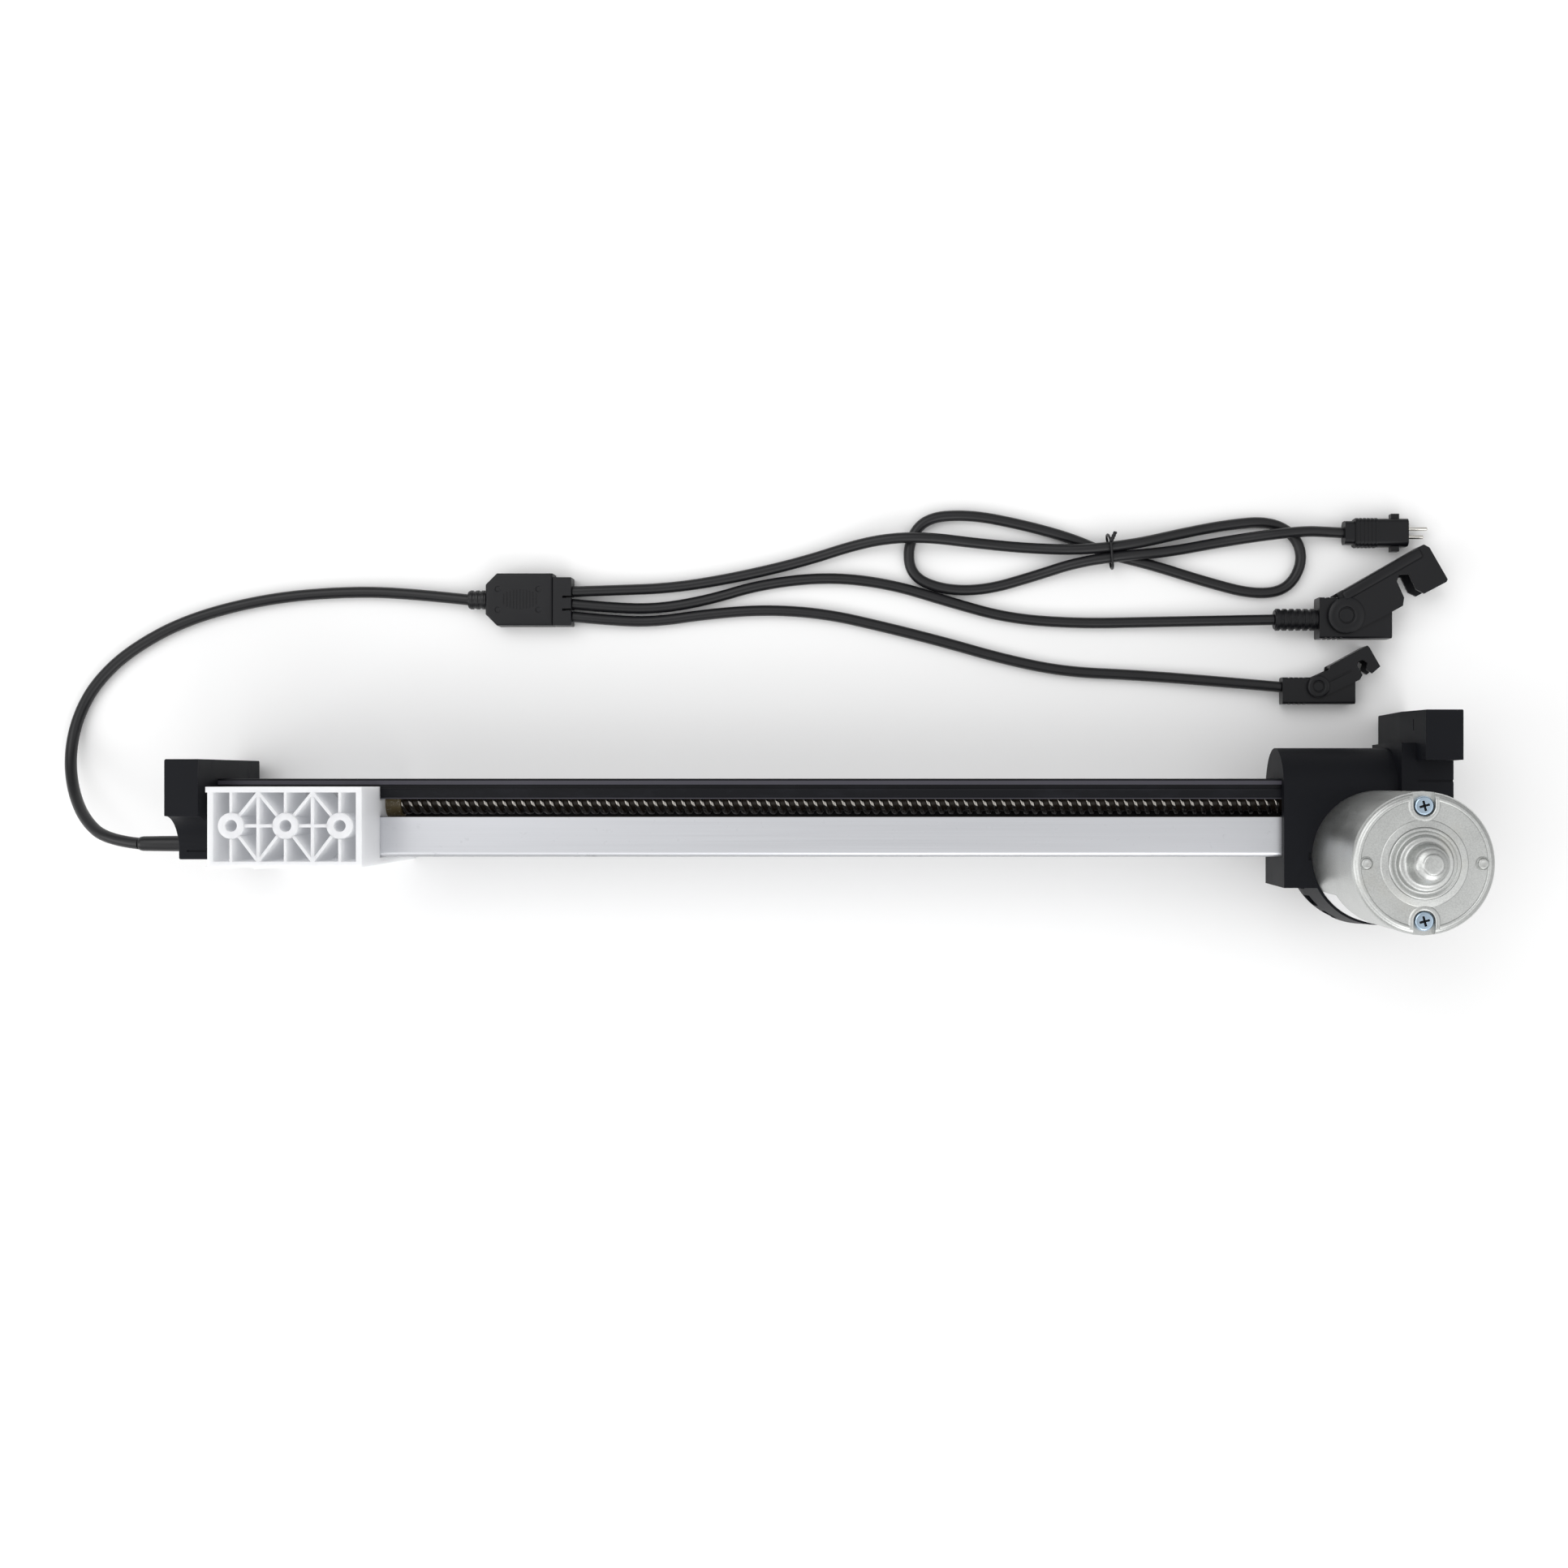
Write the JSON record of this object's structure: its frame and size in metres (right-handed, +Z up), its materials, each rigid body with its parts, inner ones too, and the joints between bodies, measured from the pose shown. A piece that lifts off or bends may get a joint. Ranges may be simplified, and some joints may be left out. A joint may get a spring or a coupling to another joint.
{
  "type": "linear actuator",
  "caption": "Motor-driven linear actuator for a reclining seat: slotted rail, lead screw, travelling slider, mounting bars at the ends, worm gearbox and a splitter cable with latching sockets.",
  "frame": {"origin": "on the floor under the middle of the rigid parts, cords left out", "axes": "+X along the rail towards the motor, +Y towards the mounting bars, +Z up along the motor's shaft"},
  "size_m": [0.6148, 0.1826, 0.1336],
  "materials": {
    "rail_aluminium": "extruded, satin, pale",
    "black_abs": "moulded black, satin",
    "black_nylon": "moulded glass-filled black, fine grain",
    "screw_steel": "rolled thread, dark grease",
    "sintered_bronze": "sintered, oiled",
    "bearing_steel": "ground",
    "white_nylon": "moulded natural white, slightly translucent",
    "nut_brown": "moulded brown, greasy",
    "zinc_screw": "bluish zinc plate",
    "wheel_acetal": "moulded off-white, greased",
    "zinc_plated_steel": "zinc plated, faint mottle",
    "ferrite": "sintered, dark grey",
    "lamination_steel": "stacked sheet, bare",
    "enamelled_copper": "enamelled wire",
    "copper": "turned copper",
    "cable_black": "soft sheath, satin",
    "connector_black": "moulded black, satin",
    "contact_tin": "tin plated"
  },
  "bodies": {
    "root": {"bearing_cap": "zinc_plated_steel", "brush_holder": "black_abs", "brushes": "ferrite", "cable_boot": "cable_black", "cable_tie": "cable_black", "cap_bush": "sintered_bronze", "cover_strip": "black_abs", "end_cap": "black_nylon", "end_cap_screws": "zinc_screw", "gearbox_front_housing": "black_nylon", "gearbox_rear_housing": "black_nylon", "housing_screws": "zinc_screw", "lead_a": "cable_black", "lead_a_hank": "cable_black", "lead_a_tail": "cable_black", "lead_b": "cable_black", "lead_c": "cable_black", "limit_switches": "black_abs", "main_cable": "cable_black", "motor_base_plate": "zinc_plated_steel", "motor_can": "zinc_plated_steel", "motor_magnets": "ferrite", "motor_rivets": "zinc_plated_steel", "motor_screws": "zinc_screw", "motor_wires": "cable_black", "plug_a_body": "connector_black", "plug_a_pins": "contact_tin", "rail_profile": "rail_aluminium", "screw_bearing_inner_end": "bearing_steel", "screw_bearing_outer_end": "bearing_steel", "screw_end_bush": "sintered_bronze", "socket_b_body": "connector_black", "socket_b_contacts": "contact_tin", "socket_b_pin": "connector_black", "socket_b_sleeve": "connector_black", "socket_c_body": "connector_black", "socket_c_contacts": "contact_tin", "socket_c_pin": "connector_black", "splitter_body": "connector_black", "splitter_comb": "connector_black", "splitter_sleeve": "cable_black", "worm_end_bush": "sintered_bronze"},
    "slider": {"slider_block": "white_nylon", "slider_bosses": "white_nylon", "drive_nut": "nut_brown"},
    "screw": {"lead_screw": "screw_steel", "worm_wheel": "wheel_acetal"},
    "rotor": {"motor_shaft": "screw_steel", "armature_core": "lamination_steel", "armature_windings": "enamelled_copper", "commutator": "copper"},
    "latch_b": {"socket_b_latch": "connector_black"},
    "latch_c": {"socket_c_latch": "connector_black"}
  },
  "joints": [
    {"name": "motor_spin", "type": "hinge", "parent": "root", "child": "rotor", "pos_m": [0.2344, -0.01545, 0.04], "axis": [0, 0, -1], "range_deg": [0, 494100]},
    {"name": "screw_spin", "type": "hinge", "parent": "root", "child": "screw", "pos_m": [0, 0.00685, 0.04], "axis": [-1, 0, 0], "range_deg": [0, 16470]},
    {"name": "slider_travel", "type": "slide", "parent": "root", "child": "slider", "axis": [1, 0, 0], "range_m": [0, 0.366]},
    {"name": "latch_b_swing", "type": "hinge", "parent": "root", "child": "latch_b", "pos_m": [0.2328, 0.0893, 0.007], "axis": [0, 0, 1], "range_deg": [-29.5, 0]},
    {"name": "latch_c_swing", "type": "hinge", "parent": "root", "child": "latch_c", "pos_m": [0.2214, 0.0579, 0.0052], "axis": [0, 0, 1], "range_deg": [-28.5, 0]}
  ],
  "couplings": [
    {"joint": "screw_spin", "follows": "motor_spin", "ratio": 0.033333},
    {"joint": "slider_travel", "follows": "motor_spin", "m_per_rad": 0.000042441}
  ]
}
